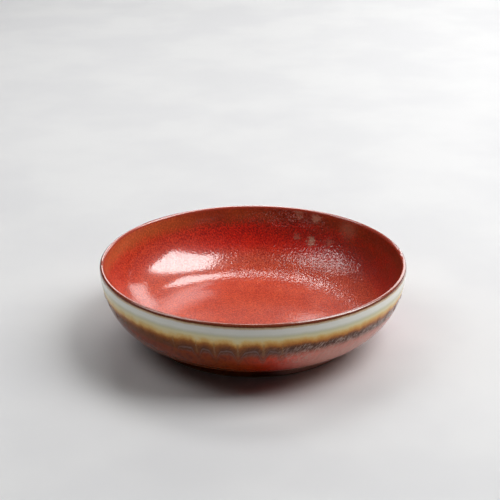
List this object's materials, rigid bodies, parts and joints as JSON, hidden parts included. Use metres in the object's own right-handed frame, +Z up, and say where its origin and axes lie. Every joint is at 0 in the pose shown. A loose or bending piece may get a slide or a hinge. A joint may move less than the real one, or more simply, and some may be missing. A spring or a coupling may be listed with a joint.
{
  "type": "glazed bowl",
  "caption": "Low, wide stoneware bowl on a turned foot ring, red glazed inside and out, with a second glaze dipped round the rim that fired in bands and ran.",
  "frame": {"origin": "centre of the circle that the foot ring stands on, at the table", "axes": "+Z up along the axis that the bowl was turned on; X and Y are level and alike"},
  "size_m": [0.21, 0.21, 0.055],
  "materials": {
    "ground_glaze": "glossy red ground glaze with fine darker mottling, fired on the clay",
    "rim_glaze": "glossy brown, where the glaze is thin over the lip",
    "inner_rim_glaze": "glossy olive brown, speckled",
    "pale_glaze": "glossy pale grey-green",
    "ochre_glaze": "glossy ochre",
    "amber_glaze": "glossy amber brown",
    "streak_glaze": "glossy dark brown and grey streaks",
    "run_glaze": "glossy ochre runs",
    "bare_clay": "unglazed fired clay, matt, on the edge that the foot stands on"
  },
  "bodies": {
    "root": {"bowl_body": "ground_glaze", "rim_glaze": "rim_glaze", "inner_rim_glaze": "inner_rim_glaze", "pale_band_glaze": "pale_glaze", "ochre_band_glaze": "ochre_glaze", "amber_band_glaze": "amber_glaze", "streak_band_glaze": "streak_glaze", "glaze_runs": "run_glaze"}
  },
  "joints": []
}
